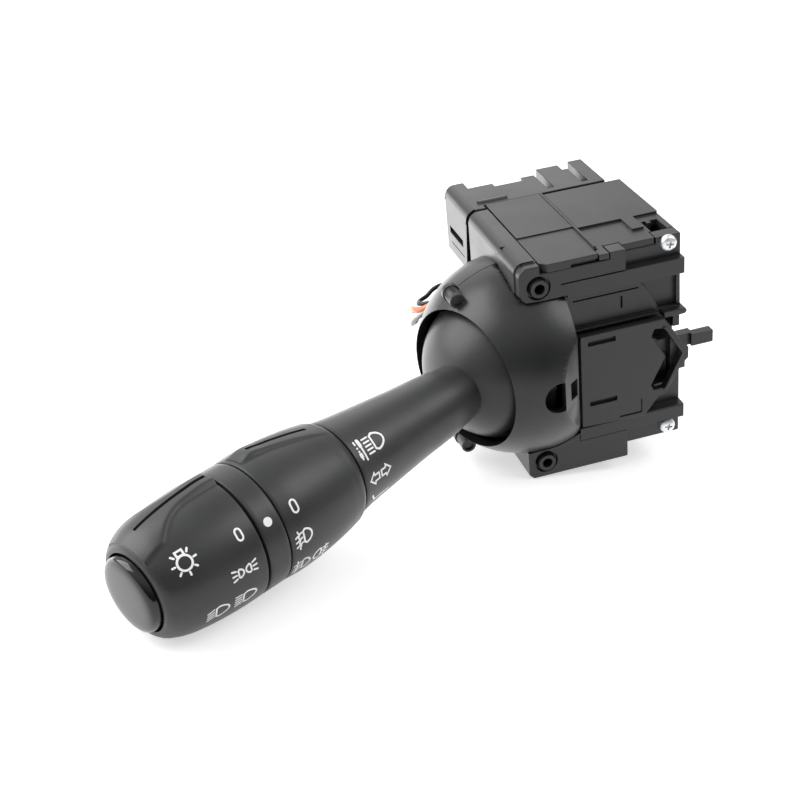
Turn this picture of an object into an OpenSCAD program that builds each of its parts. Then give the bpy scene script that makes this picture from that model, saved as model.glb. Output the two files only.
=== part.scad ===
// Combination stalk switch for a steering column.
// Axes: +X towards the column, -Y towards the driver, +Z up; millimetres.
// The origin is midway between the two screw bosses, on their front faces.

/* [Case] */
// Distance between the two screw bosses
boss_pitch = 50; // [49:0.5:51]
// Pilot bore of a boss for a thread-forming screw
pilot_d = 2.5; // [2:0.1:2.8]
// Depth of a pilot bore
pilot_depth = 11; // [8:0.5:12]
// Right face of the case
case_right = 38.2; // [38:0.1:39]
// Height of the case top over the middle of the bosses
case_top = 31; // [31:0.1:31.4]
// Depth of the whole case behind the boss faces
case_depth = 57.5; // [57.5:0.5:60]
// Wall of the moulded shells
wall = 1.8; // [1.5:0.1:2]

/* [Dome and ball] */
// Outer radius of the dome
dome_r = 26.2; // [26:0.1:26.4]
// Radius of the ball at the root of the stalk
ball_r = 19.5; // [19:0.1:19.5]
// Angle of the dome opening, from left towards the driver
opening_angle = 23.25; // [22:0.25:25]
// Radius of the round opening of the dome
opening_r = 18.6; // [18.4:0.1:18.8]

/* [Stalk] */
// Angle of the stalk, from left towards the driver
stalk_angle = 28.8; // [28:0.1:30]
// Offset of the stalk axis from the ball centre
stalk_offset = 2; // [1.8:0.1:2.2]
// Seam between stem and fog ring, along the stalk
fog_start = 60.6; // [60:0.1:61]
// Seam between fog ring and marker ring
marker_start = 85.8; // [85.5:0.1:86]
// Seam between marker ring and light knob
knob_start = 91.6; // [91.4:0.1:92]
// Open end of the light knob
knob_end = 116; // [115.8:0.1:116.2]
// Angle of the finger ridges round the stalk, up from the driver side
ridge_angle = 97; // [95:1:100]

/* [Horn button] */
// Radius of the button
button_r = 9; // [8.8:0.1:9]
// Length of the button that stands out of the knob
button_out = 2.3; // [2:0.1:2.5]
// Travel of the button
button_travel = 1.6; // [1.4:0.1:1.7]

/* [Hidden] */
$fn = 64;

boss_z = boss_pitch / 2;
pilot_r = pilot_d / 2;
boss_ring_r = 2.6;
boss_tip_r = 2.25;
boss_pocket_r = 3.1;
boss_pocket_depth = 2;
front_y = 0.8;
case_left = -5;
case_bottom = -29.4;
low_bottom = -26.8;
step_x = 22.6;
face_y = 3.2;
seam_y = 38;
cover_t = 2.4;
roof_z = case_top - cover_t;
tongue_z = case_top - 0.6;
dome_c = [-0.9, 16.2, 0];
dome_wall = 2;
parting_y = 16.6;
dome_back_y = 34.4;
facet_h = 21.85;
edge_x = 9.5;
side_x = 7.1;
leg_z = [7.4, -10];
screw_x = 34.7;
well_x = 36.6;
screw_z = [28.6, -24.2];
ball_c = [-7.1, 13.6, 0];
ball_wall = 1.5;
gap = 0.3;
left_low = -2.4;
socket = [[4, 46, -13], [30, 60, 11]];
terminal_places = [for (x = [8 : 4.5 : 26], z = [-8, -1, 6]) [x, z]];
post_places = [for (x = [3.5, 32.5], z = [-20, 20]) [x, z]];
track_r = [20, 24, 28];
indicator_swing = 8;
spring_x = -10.6;
tube_r = 3.6;
cancel_x = 29.4;
// Leads side by side in their clip
lead_z = 8.3;
lead_x = [-10.6, -12.3, -14];
lead_r = [0.6, 0.8, 0.6];

// Rows of [distance along the stalk, radius]
stem_profile = [[14, 7.2], [19, 7.6], [25, 8.4], [36, 9.3], [47, 10.4], [56, 11.4], [fog_start, 12.1]];
fog_profile = [[fog_start + gap, 12.1], [61.6, 12.7], [64, 13.4], [68, 14.1], [72, 14.6], [77, 15],
    [81, 15.1], [marker_start - gap, 14.8]];
knob_profile = [[knob_start + gap, 14.8], [97, 14.8], [102.6, 14.5], [107, 14], [110.3, 13.4],
    [113.2, 12.4], [115, 11.4], [knob_end, 10.3]];

module box(a, b) { translate(a) cube(b - a); }
module rod(r, a, b) { translate([0, a, 0]) rotate([-90, 0, 0]) cylinder(r = r, h = b - a); }
module upright(r, a, b) { translate([0, 0, a]) cylinder(r = r, h = b - a); }

// Stalk frame: X along the stalk, Y to the driver, Z up, origin beside the ball centre
module stalk() {
    translate(ball_c) rotate([0, 0, 180 + stalk_angle]) translate([0, stalk_offset, 0]) children();
}
module along(a, b, r) { translate([a, 0, 0]) rotate([0, 90, 0]) cylinder(r = r, h = b - a); }
module turned(points) { rotate([0, 90, 0]) rotate_extrude() polygon(points); }
module turned_solid(profile) {
    last = len(profile) - 1;
    turned(concat([[0, profile[0][0]]], [for (p = profile) [p[1], p[0]]], [[0, profile[last][0]]]));
}

// A round cord swept along hand-placed points, with a flat ring at each end
function unit(v) = v / norm(v);
function tangent(pts, i) = unit(pts[min(i + 1, len(pts) - 1)] - pts[max(i - 1, 0)]);
function side_of(t) = unit(cross(t, abs(t[2]) > 0.9 ? [1, 0, 0] : [0, 0, 1]));
function ring_at(c, t, r, n) = let (s = side_of(t), u = cross(s, t))
    [for (k = [0 : n - 1]) c + r * cos(360 * k / n) * s + r * sin(360 * k / n) * u];
module cord(pts, r) {
    n = 8;
    m = len(pts);
    rings = [for (i = [0 : m - 1]) each ring_at(pts[i], tangent(pts, i), r, n)];
    sides = [for (i = [0 : m - 2], k = [0 : n - 1]) let (k2 = (k + 1) % n)
        [i * n + k, (i + 1) * n + k, (i + 1) * n + k2, i * n + k2]];
    start = [for (k = [0 : n - 1]) k];
    finish = [for (k = [n - 1 : -1 : 0]) (m - 1) * n + k];
    polyhedron(rings, concat(sides, [start], [finish]), convexity = 4);
}
// Points of a smooth line through hand-placed points, n steps between two of them
function at(p, i) = p[max(0, min(len(p) - 1, i))];
function blend(a, b, c, d, t) =
    b + 0.5 * t * (c - a + t * (2 * a - 5 * b + 4 * c - d + t * (3 * (b - c) + d - a)));
function curve(p, n) = concat([for (i = [0 : len(p) - 2], k = [0 : n - 1])
    blend(at(p, i - 1), p[i], p[i + 1], at(p, i + 2), k / n)], [p[len(p) - 1]]);

// Case
// Outline of the upper boss block, its lower left corner round, with t more all round
module nose(t, y0, y1, x1, z1) {
    left = case_left + 0.3 - t;
    low = 21.4 - t;
    r = 2.4 + t;
    box([left + r, y0, low], [x1, y1, z1]);
    box([left, y0, low + r], [left + r, y1, z1]);
    translate([left + r, 0, low + r]) rod(r, y0, y1);
}
module boss_blocks() {
    nose(0, front_y, parting_y, 5.3, roof_z);
    box([case_left + 0.3, front_y, case_bottom], [5.3, parting_y, -21.4]);
    // Lower block drawn up to the dome
    difference() {
        box([-0.9, front_y, -21.5], [edge_x, face_y + 0.5, -17.4]);
        dome_ball(dome_r + 0.25);
    }
}
// Tapered ring that stands in the pocket of a boss, its tip on the mounting plane
module boss_ring()
    rotate([-90, 0, 0]) cylinder(r1 = boss_tip_r, r2 = boss_ring_r, h = boss_pocket_depth + 0.2);
module edge_bar(z0, z1, y0, y1) {
    r = 2.6;
    box([case_left, y0, z0], [0.4, y1, z1 - r]);
    box([case_left + r, y0, z1 - r], [0.4, y1, z1]);
    translate([case_left + r, 0, z1 - r]) rod(r, y0, y1);
}
module case_solid() {
    box([case_left, parting_y, case_bottom], [edge_x, seam_y, roof_z]);
    box([side_x + 0.2, face_y, -21], [edge_x, parting_y, 21]);
    box([edge_x, face_y, case_bottom], [step_x, seam_y, roof_z]);
    box([step_x, face_y, low_bottom], [case_right, seam_y, roof_z]);
    box([31.7, face_y, roof_z - 1], [case_right, 6.9, case_top - 0.6]);
    boss_blocks();
    // Edge bar, its front part thicker, with a lip at the front
    edge_bar(roof_z - 5, case_top, 3, seam_y - gap);
    translate([-0.3, 0, 0]) edge_bar(roof_z - 5, case_top + 0.3, 3.4, 14.2);
    edge_bar(roof_z - 5, case_top - 0.2, front_y, 4);
    // Front bands above and below the latch plate
    box([5.2, front_y, 24.8], [step_x, face_y + 1, roof_z]);
    box([side_x + 0.2, front_y + 0.1, 20.4], [case_right + 0.2, face_y + 1, 24.6]);
    box([5.2, front_y + 0.1, 21.4], [edge_x, face_y + 1, 24.9]);
    box([edge_x, 0.4, -21], [case_right + 0.2, face_y + 1, -17.3]);
    box([5.2, front_y, case_bottom], [step_x, face_y + 1, -21.4]);
    box([edge_x, front_y + 0.3, -22], [step_x, face_y + 1, -20]);
    box([18.6, front_y, 24.8], [step_x, 4.8, tongue_z]);
    // Seat of the latch plate
    plate_y(1.2, face_y + 0.5) seat_outline();
    // Thin ledge over the latch plate
    box([edge_x, 1.7, 10.2], [31.6, face_y + 1, 10.7]);
    // Rib and hook on the right edge
    box([32.9, 1, 8.9], [38.4, face_y + 1, 10.5]);
    translate([38.4, 0, 9.7]) rod(0.8, 1, 7);
    box([37.4, 1.4, -6.9], [39, 4, -5.1]);
    box([35.2, 1.2, -6.4], [38, face_y + 0.4, -4.4]);
}
module case_cavity() {
    box([case_left + wall, parting_y + wall, case_bottom + wall], [step_x - wall, seam_y + 1, 23.4]);
    box([2.2, parting_y + wall, 20], [12, seam_y + 1, roof_z + 5]);
    box([side_x + 2, 9, low_bottom + wall], [case_right - wall, seam_y + 1, roof_z + 5]);
    // Way through the left wall for the arm of the carrier
    box([case_left - 1, parting_y - 1, -14], [1.5, 33, 14]);
    // Pocket of the cancelling finger, with its way out on the right
    box([13.4, 1, -6.4], [28, 7.2, 6.2]);
    box([27, 1, -11], [34.8, 7.2, 8.2]);
    box([34, 2.3, -11], [case_right - wall, 7.2, 8.2]);
    box([case_right - wall - 1, 2.3, -4.6], [case_right + 2, 7.2, 4.6]);
    // Sockets for the legs of the latch plate
    for (z = leg_z) box([11.9, 1, z - 0.8], [18.9, 5.3, z + 0.8]);
    // Set-back corner right of the round edge
    difference() {
        box([24, 2, 10.8], [case_right - 1, 4.4, 20.8]);
        translate([9.6, 0, 3.4]) rod(23.9, 1, 7);
    }
    // Square well beside the upper case screw
    box([32.2, 7.2, 26], [well_x, 13.2, roof_z + 5]);
    // Fine grooves of the front face
    box([5.8, -0.3, 24.5], [step_x + 0.1, front_y + 0.5, 24.9]);
    box([22.2, 2.7, 13.4], [22.7, face_y + 1, 16.5]);
    box([9.6, 2.9, 17.8], [27, face_y + 1, 18.1]);
}
module main_case() color("#3a3b3d") difference() {
    union() {
        difference() {
            case_solid();
            case_cavity();
            for (s = [-1, 1]) translate([0, 0, s * boss_z]) rod(boss_pocket_r, -1, boss_pocket_depth);
        }
        for (s = [-1, 1]) translate([0, 0, s * boss_z]) boss_ring();
    }
    for (s = [-1, 1]) translate([0, 0, s * boss_z]) rod(pilot_r, -1, pilot_depth);
    // Chamfered lower edge and room for the case screws
    translate([case_left, -1, case_bottom]) rotate([0, 45, 0]) cube([2, 60, 2], center = true);
    for (z = screw_z) translate([screw_x, 0, z]) rod(1.3, face_y - 1, 6.8);
}

module case_screws() color("#c9ccd0") for (z = screw_z) translate([screw_x, 0, z]) difference() {
    union() {
        rod(2.1, face_y - 1.7, face_y);
        rod(1.25, face_y, 6.6);
    }
    rotate([0, 10, 0]) box([-1.3, 0, -0.25], [1.3, face_y - 1, 0.25]);
    rotate([0, 100, 0]) box([-1.3, 0, -0.25], [1.3, face_y - 1, 0.25]);
}

module left_cover() color("#47484a") difference() {
    union() {
        box([0.8, 17.2, roof_z], [16.3, 40.4, case_top + 0.1]);
        box([0.8, front_y, roof_z], [16.3, 17.2, case_top - 0.2]);
        box([15.7, 4, roof_z], [16.3, 40.4, case_top + 0.3]);
    }
    // Cut-away under the front edge and the corner chamfer
    box([8.4, -1, roof_z - 1], [15.4, 1.6, roof_z + 1]);
    translate([0.8, front_y, roof_z - 1]) rotate([0, 0, 45]) cube([2.4, 2.4, 8], center = true);
    box([15.4, -1, roof_z - 1], [17, 3.7, case_top + 1]);
}
module right_cover() color("#47484a") difference() {
    union() {
        box([16.6, 16.2, roof_z], [case_right, 39.6, case_top]);
        box([16.6, face_y + 0.3, roof_z], [31.5, 16.2, case_top - 0.6]);
        // Tongue that reaches the front beside the block of the case
        box([15.7, front_y - 0.2, roof_z + 0.3], [18.3, face_y + 0.5, tongue_z]);
        box([28.2, 9.3, roof_z], [31.4, 16.2, case_top]);
        box([31.4, 7.1, roof_z], [case_right, 16.2, case_top - 0.6]);
    }
    // Well with a small tab at its back wall
    box([32.2, 7, roof_z - 1], [well_x, 11.8, case_top + 1]);
    box([32.2, 7, roof_z - 1], [33.4, 13.2, case_top + 1]);
    box([34.4, 7, roof_z - 1], [well_x, 13.2, case_top + 1]);
    box([18.3, 0, roof_z - 1], [step_x + 0.3, 5.1, case_top + 1]);
}

module latch_outline() polygon([[edge_x + 0.2, -16.4], [26.8, -17.2], [31, -12.3], [32.8, -11.8], [37.3, -4.5],
    [39, -3], [39, 0], [36.4, 3.4], [32.2, 9.7], [edge_x + 0.2, 9.7]]);
module seat_outline() polygon([[edge_x + 0.2, -15.6], [26.4, -16.4], [30.4, -11.6], [33, -9], [36.1, -4.6],
    [case_right, -2.6], [case_right, -0.4], [35.6, 3], [31.8, 9], [edge_x + 0.2, 9]]);
module vee_outline() polygon([[29.6, 7.4], [32.3, 7], [37, -1], [32.3, -10.2], [29.4, -10.4], [28.7, -8.7],
    [32.7, -1.2], [28.8, 5.4]]);
module plate_y(a, b) { translate([0, b, 0]) rotate([90, 0, 0]) linear_extrude(b - a) children(); }
module latch_plate() color("#414244") difference() {
    union() {
        plate_y(-0.6, 1.2) latch_outline();
        plate_y(-1.1, 0) difference() {
            translate([1.2, -0.06]) scale([0.98, 1.04]) vee_outline();
            translate([30.4, 0]) square([3, 30], center = true);
        }
        // Legs that clip the plate into the case
        for (z = leg_z) box([12, 1.2, z - 0.7], [18.8, 5, z + 0.7]);
    }
    plate_y(-2, 2) vee_outline();
    box([11.7, -1, 6.7], [19.1, 0.4, 8.1]);
    box([11.9, -1, -10.7], [19.3, 0.4, -9.3]);
    // Corner pocket of the plate
    difference() {
        box([20, -1, -16.1], [26.2, -0.2, -12]);
        box([19, -2, -15.6], [25.7, 1, -11]);
    }
}

// Dome
module dome_ball(r) { translate(dome_c) sphere(r = r, $fn = 96); }
module facet_frame() { translate(dome_c) rotate([0, 0, -51.25]) children(); }
module facet_cut(t) facet_frame() box([facet_h - t, -40, -40], [80, 40, 40]);
module opening_cut() translate(dome_c) rotate([0, 0, 180 + opening_angle]) along(5, 80, opening_r);
module reliefs(t) {
    nose(t + 0.2, -30, 50, 20, 50);
    box([case_left - 0.4 - t, 2.8 - t, 23.4 - t], [20, 50, 50]);
    box([case_left - 0.1 - t, -30, -50], [20, 50, t - 21.3]);
    box([5 - t, -30, 20.8 - t], [20, 50, 50]);
}
module dome_front() color("#3c3d3f") difference() {
    union() {
        difference() {
            intersection() {
                dome_ball(dome_r);
                box([-40, -20, -30], [side_x, parting_y, 30]);
            }
            facet_cut(0);
            reliefs(0);
            difference() {
                intersection() {
                    dome_ball(dome_r - dome_wall);
                    box([-40, -20, -30], [side_x - 1.8, parting_y + 1, 30]);
                }
                facet_cut(1.8);
                reliefs(1.2);
            }
        }
        // Locating pegs beside the dome
        for (s = [-1, 1]) {
            translate([-17.6, 0, s * 21.1]) rod(1.9, 10.4, parting_y);
            translate([-17.6, 0, s * 21.1]) rod(2.25, 15.2, parting_y);
        }
    }
    opening_cut();
    for (s = [-1, 1]) translate([-17.6, 0, s * 21.1]) rod(1.35, 10, 11);
    // Access hole that ends at the facet, and the window in the facet
    intersection() {
        translate([0.6, 0, -0.2]) rod(4.1, -14, -5.4);
        box([-8, -20, -6], [2, 0, 6]);
    }
    facet_frame() box([19, -11.1, -2.9], [24, -8, 1.9]);
}
module dome_rear() color("#434446") difference() {
    intersection() {
        dome_ball(dome_r);
        box([-40, parting_y + 0.2, -30], [case_left, dome_back_y, 30]);
    }
    intersection() {
        dome_ball(dome_r - dome_wall);
        box([-40, 10, -30], [0, dome_back_y - 1.6, 30]);
    }
    opening_cut();
    // Outlet for the leads
    translate([-12.3, 0, lead_z]) rod(3.2, 30, 40);
}

// Rear housing with the plug socket
module rear_housing() color("#3d3e40") difference() {
    union() {
        difference() {
            union() {
                box([left_low, seam_y, case_bottom], [case_right, 44, roof_z]);
                box([case_left, seam_y + gap, 13], [0.4, case_depth, roof_z]);
            }
            box([left_low + wall, seam_y - 1, case_bottom + wall], [case_right - wall, 42, roof_z - wall]);
        }
        box([left_low, 40.6, 13], [34.6, 53, case_top]);
        box([left_low, 43, case_bottom], [34.6, 53, 14]);
        edge_bar(roof_z - 4, case_top, seam_y + 0.6, case_depth);
        // Two ribs with slots beside them
        box([21, 42, roof_z], [27.4, case_depth - 0.9, case_top]);
        box([30.6, 42, roof_z], [34.6, case_depth, case_top]);
        box([21, 52, 20], [27.4, case_depth - 0.9, case_top]);
        box([30.6, 52, 20], [34.6, case_depth, case_top]);
        // Round ridge behind the left cover
        translate([-0.6, 42.5, case_top - 1]) rotate([0, 90, 0]) cylinder(r = 1.5, h = 8.1);
        // Shroud of the socket
        box([socket[0][0] - wall, 50, socket[0][2] - wall],
            [socket[1][0] + wall, case_depth, socket[1][2] + wall]);
        // Posts that carry the contact board
        for (p = post_places) translate([p[0], 0, p[1]]) {
            rod(1.35, 34.4, 37);
            rod(2.4, 35.9, 43);
        }
    }
    box(socket[0], socket[1]);
    box([2, 44, 14], [32, 51, roof_z - 1]);
    // Lower step of the back edge
    box([7.2, 51, 30.1], [15.2, 60, 32]);
    // Slots beside the ribs
    box([19.2, 42.8, roof_z - 2], [21, 60, case_top + 1]);
    box([28.8, 42.8, roof_z - 2], [30.6, 60, case_top + 1]);
    // Slot of the side clip, and its fine groove
    box([case_left - 1, 44, 18.6], [case_left + 2.4, 54.8, 20.5]);
    box([case_left - 1, 43.4, 15.9], [case_left + 0.3, 54, 16.2]);
    // Seam on the left, wider towards its foot
    translate([case_left, seam_y + 1, case_top]) rotate([8.6, 0, 0]) box([-1, -6, -20], [2.4, 0, 2]);
    // Holes for the terminals
    for (p = terminal_places) translate([p[0], 0, p[1]]) box([-0.9, 41, -0.5], [0.9, 50, 0.5]);
}
module terminals() color("#b8935a") for (p = terminal_places) translate([p[0], 0, p[1]])
    box([-0.8, 35.9, -0.4], [0.8, 52, 0.4]);
module contact_board() color("#2f5a3c") difference() {
    box([0, 34.3, -23], [35.5, 35.9, 23]);
    for (p = post_places) translate([p[0], 0, p[1]]) rod(1.4, 30, 40);
}
module contact_tracks() color("#c48a5a") intersection() {
    for (r = track_r) translate([ball_c[0], 0, 0]) difference() {
        rod(r + 1, 34.1, 34.3);
        rod(r - 1, 33, 35);
    }
    box([2, 30, -12], [30, 40, 12]);
}

// Indicator detents: an arc of three notches round the ball centre
module detent_block() color("#d8d4c8") difference() {
    box([24.6, 18.6, -13], [case_right - wall, 29.4, 13]);
    translate([ball_c[0], 0, 0]) rod(35.4, 10, 40);
    for (a = [-1, 0, 1]) translate([ball_c[0], 0, 0]) rotate([0, a * indicator_swing, 0])
        translate([35.2, 24, 0]) rotate([0, 45, 0]) cube([1.8, 40, 1.8], center = true);
}

module pivot_bracket() color("#56575a") difference() {
    box([-13, 26.8, -6], [case_left - 0.2, dome_back_y - 1.6, 6]);
    translate([ball_c[0], 0, 0]) rod(2.5, 20, 40);
}

// Carrier: swings up and down on a pin that points away from the driver
module carrier() color("#8f9296") difference() {
    union() {
        translate([ball_c[0], 0, 0]) rod(6, 21.8, 26.4);
        for (s = [-1, 1]) {
            translate([ball_c[0], ball_c[1], 0]) upright(4, s > 0 ? 9.5 : -12.5, s > 0 ? 12.5 : -9.5);
            box([ball_c[0] - 4, ball_c[1], s > 0 ? 9.5 : -12.5], [ball_c[0] + 4, 25.6, s > 0 ? 12.5 : -9.5]);
        }
        box([ball_c[0] - 4, 22.4, -12.5], [ball_c[0] + 4, 25.6, 12.5]);
        box([ball_c[0], 22, -3], [22.6, 26, 3]);
        box([12, 22, -5], [22.6, 30, 5]);
    }
    translate([ball_c[0], 0, 0]) rod(2.45, 20, 30);
    translate([ball_c[0], ball_c[1], 0]) upright(2.05, -20, 20);
    translate([22.6 - 9, 24, 0]) along(0, 20, 1.6);
}
module carrier_pin() color("#b9bcc0") translate([ball_c[0], 0, 0]) rod(2.45, 21.8, 32.4);
module detent_plunger() color("#e4dfd2") translate([0, 24, 0]) {
    along(14, 26.4, 1.55);
    translate([26.4, 0, 0]) sphere(r = 1.55);
}
module contact_wiper() color("#c9a063") {
    for (r = track_r) translate([ball_c[0] + r, 0, 0]) box([-0.5, 30, -1.5], [0.5, 33.8, 1.5]);
}

// Lever: block on an upright pin, with core, ball and stem fixed to it
module lever_block() color("#8a8d91") difference() {
    union() {
        translate([ball_c[0], ball_c[1], 0]) upright(5.2, -9.2, 9.2);
        stalk() box([0, -6, -5.5], [11.6, 4.4, 5.5]);
    }
    translate([ball_c[0], ball_c[1], 0]) upright(2.02, -20, 20);
    stalk() along(4, 20, 2.75);
    translate([spring_x, 0, 0]) rod(1.7, 14.4, 22);
}
module lever_pin() color("#b9bcc0") translate([ball_c[0], ball_c[1], 0]) upright(2, -12.4, 12.4);
module flash_spring() color("#c2c4c6") translate([spring_x, 0, 0]) difference() {
    rod(1.6, 14.4, 21.5);
    rod(1.1, 14, 22.5);
}
module ball_cap() color("#404143") difference() {
    union() {
        difference() {
            translate(ball_c) sphere(r = ball_r, $fn = 96);
            translate(ball_c) sphere(r = ball_r - ball_wall, $fn = 96);
            stalk() box([-60, -40, -40], [0.5, 40, 40]);
        }
        stalk() along(17.2, 33.8, 5.4);
        // Struts that stand on the lever block
        for (z = [5.5, -8.2]) stalk() box([5.6, -3, z], [16.9, 0.8, z + 2.7]);
    }
    stalk() along(15.5, 40, 3.75);
}
module stem_shell() color("#47484a") difference() {
    stalk() turned_solid(stem_profile);
    translate(ball_c) sphere(r = ball_r + 0.02, $fn = 96);
    stalk() along(10, 34, 5.45);
    stalk() turned([[0, 33.9], [6.6, 33.9], [8.7, 46], [0, 46]]);
    stalk() turned([[0, 50], [9, 50], [9.9, 58], [9.9, 61], [0, 61]]);
    stalk() along(40, 60, 4.55);
}
module core_rod() color("#8a8d91") stalk() difference() {
    along(4, 106, 2.7);
    along(40, 110, 1.9);
}
module marker_ring() color("#3f4042") stalk() difference() {
    union() {
        along(marker_start, knob_start, 14.8);
        along(46.4, knob_start, 4.5);
    }
    turned([[6, marker_start - 1], [13, marker_start - 1], [13, marker_start + 3.6], [6, marker_start + 3.6]]);
    along(40, 100, 3.65);
}
module snap_dome() color("#cfd1d4") stalk() difference() {
    along(103.8, 104.1, 1.85);
    along(100, 110, 0.5);
}

// Fog lamp ring and light knob turn on the stalk axis
module across_ridge(at, slant) rotate([ridge_angle - 90, 0, 0]) translate([at, 0, 0]) rotate([0, 0, slant])
    translate([-at, 0, 0]) children();
module ridge(crest) intersection() {
    translate([0, 4, 0]) rotate([90, 0, 0]) linear_extrude(8)
        polygon(concat([[crest[0][0], 8]], crest, [[crest[len(crest) - 1][0], 8]]));
    rotate([90, 0, 90]) linear_extrude(200)
        polygon([[-4, 7], [4, 7], [3.3, 14.1], [1.8, 17], [-1.8, 17], [-3.3, 14.1]]);
}
module fog_ring() color("#434446") stalk() difference() {
    union() {
        turned_solid(fog_profile);
        across_ridge(75, -7)
            ridge([[61.4, 12.4], [66, 13.9], [72, 15.1], [77, 15.7], [82, 15.9], [84.4, 14.9]]);
    }
    turned([[6, fog_start + 3], [11.4, fog_start + 3], [13, 72], [13, 81], [6, 81]]);
    along(50, 100, 4.55);
    // Finger slot along the ridge
    across_ridge(75, -7) box([65.5, -0.5, 13], [80.8, 0.5, 20]);
}
module fog_wiper() color("#c9a063") stalk() difference() {
    along(66, 66.8, 9);
    along(60, 70, 6.02);
}
module light_knob() color("#3d3e40") stalk() difference() {
    union() {
        turned_solid(knob_profile);
        across_ridge(95, 0)
            ridge([[knob_start + gap, 15.9], [95, 16], [99, 15.7], [104, 15.1], [109, 13.9], [113, 12.4]]);
    }
    turned([[5.4, knob_start + 3], [12.6, knob_start + 3], [12, 103.6], [5.4, 103.6]]);
    along(80, 120, tube_r + 0.03);
    along(107.4, 120, button_r + 0.35);
    along(105.6, 120, 8);
    across_ridge(95, 0) box([92.8, -0.45, 12.4], [112.2, 0.45, 20]);
}
module knob_tube() color("#8f9296") stalk() difference() {
    along(14.9, knob_start + 8, tube_r);
    along(10, 110, 2.8);
}
module knob_rotor() color("#d8d4c8") stalk() difference() {
    along(12.2, 14.9, 5.2);
    along(10, 20, 2.8);
    for (a = [30 : 60 : 330]) rotate([a, 0, 0]) translate([0, 0, 5.2]) along(10, 20, 0.7);
}
module horn_button() color("#17181a") stalk() difference() {
    turned([[0, 109.6], [button_r, 109.6], [button_r, knob_end + 0.9], [button_r - 0.5, knob_end + 1.7],
        [7.2, knob_end + button_out], [0, knob_end + button_out]]);
    turned([[2.4, 109], [7.6, 109], [7.6, 115], [2.4, 115]]);
    along(100, 112, 1.2);
}
module button_plunger() color("#e4dfd2") stalk() {
    along(106.2, 109.6, 1.8);
    along(109.6, 112, 1.2);
}

// Self-cancelling finger
module cancel_finger() color("#39393b") {
    difference() {
        union() {
            translate([cancel_x, 0, 0]) rod(3.2, 2.6, 5.8);
            box([cancel_x, 3.2, -1.7], [42, 5.8, 1.7]);
            box([41, 2.1, -1.7], [47.2, 4.7, 1.7]);
            box([20, 3.2, -0.8], [cancel_x, 5.6, 0.8]);
        }
        translate([cancel_x, 0, 0]) rod(1.55, -5, 10);
    }
}
module cancel_pin() color("#b9bcc0") translate([cancel_x, 0, 0]) rod(1.5, 2.2, 7.2);
module cancel_spring() color("#c2c4c6") for (s = [-1, 1])
    translate([0, 0, s * 4.2]) box([13.4, 3.4, -0.15], [22, 5.4, 0.15]);

// Leads from the stalk to the rear housing, held at both ends
black_points = [[-10.6, 32.8, 8.3], [-10.5, 35.1, 8.3], [-11.4, 37.1, 7.5], [-13, 38.3, 6.4],
    [-14.8, 39.7, 6.2], [-16.9, 40.7, 6.2], [-18.4, 42.1, 5.6], [-18.8, 43.9, 5],
    [-17.7, 45.9, 4.7], [-15.5, 47, 5], [-13.5, 47.5, 6.3], [-11.2, 47.6, 7],
    [-8.9, 46.8, 7.2], [-6.8, 45.7, 7.6], [-4.7, 45, 8], [-2.4, 45, 8]];
orange_points = [[-12.3, 32.8, 8.3], [-12.5, 35.2, 8.2], [-13.9, 37.3, 7.7], [-16.9, 38.6, 6.5],
    [-19, 39.9, 5.2], [-20.2, 42.3, 4.2], [-20.2, 45, 3.3], [-20.2, 47.5, 1.9],
    [-18.9, 49.2, 0.3], [-16.6, 50.2, -0.5], [-13.9, 50.1, 0], [-11.9, 49.4, 1.6],
    [-9.8, 48.3, 2.8], [-7.4, 47, 3], [-5, 46, 3], [-2.4, 46, 3]];
grey_points = [[-14, 32.8, 8.3], [-14.3, 34.6, 8.2], [-15.5, 36.1, 7.6], [-17.9, 36.7, 6.2],
    [-20.5, 36.5, 5.2], [-22.1, 37.6, 3.6], [-22.1, 39.4, 1.6], [-20.6, 41.7, 0.9],
    [-18.8, 43.9, 1.2], [-16.9, 45.6, 0], [-15.3, 47.4, -1.6], [-13.1, 48.2, -3.3],
    [-10.6, 47.6, -4.4], [-7.9, 46.7, -4.1], [-5.3, 46, -3], [-2.4, 46, -3]];
module lead_clip() color("#2f3032") difference() {
    box([-15, 30.2, 6.4], [-9.6, 32.74, 10.2]);
    for (i = [0 : 2]) translate([lead_x[i], 0, lead_z]) rod(0.5, 28, 31.6);
}
module lead_black() color("#1b1b1c") cord(curve(black_points, 3), lead_r[0]);
module lead_orange() color("#e0552b") cord(curve(orange_points, 3), lead_r[1]);
module lead_grey() color("#b9b9b6") cord(curve(grey_points, 3), lead_r[2]);

main_case();
rear_housing();
left_cover();
right_cover();
latch_plate();
dome_front();
dome_rear();
case_screws();
contact_board();
contact_tracks();
terminals();
detent_block();
pivot_bracket();
lead_clip();
lead_black();
lead_orange();
lead_grey();
cancel_spring();
cancel_finger();
cancel_pin();
carrier();
carrier_pin();
detent_plunger();
contact_wiper();
lever_block();
lever_pin();
flash_spring();
ball_cap();
stem_shell();
core_rod();
marker_ring();
snap_dome();
fog_ring();
fog_wiper();
light_knob();
knob_tube();
knob_rotor();
horn_button();
button_plunger();
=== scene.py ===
# %% [markdown]
# # Combination stalk switch
# The switch behind a steering wheel: a boxed case that screws to the column, a domed shell at its left,
# and a tapered stalk on a ball in the dome. The stalk carries a fog lamp ring, a lamp knob and a horn
# button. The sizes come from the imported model, which is loaded first and stays as it is. Everything here
# is in metres.

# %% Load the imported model
import math
import bmesh
import bpy
import numpy as np
from mathutils import Matrix, Vector, kdtree
from mathutils.bvhtree import BVHTree


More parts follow.
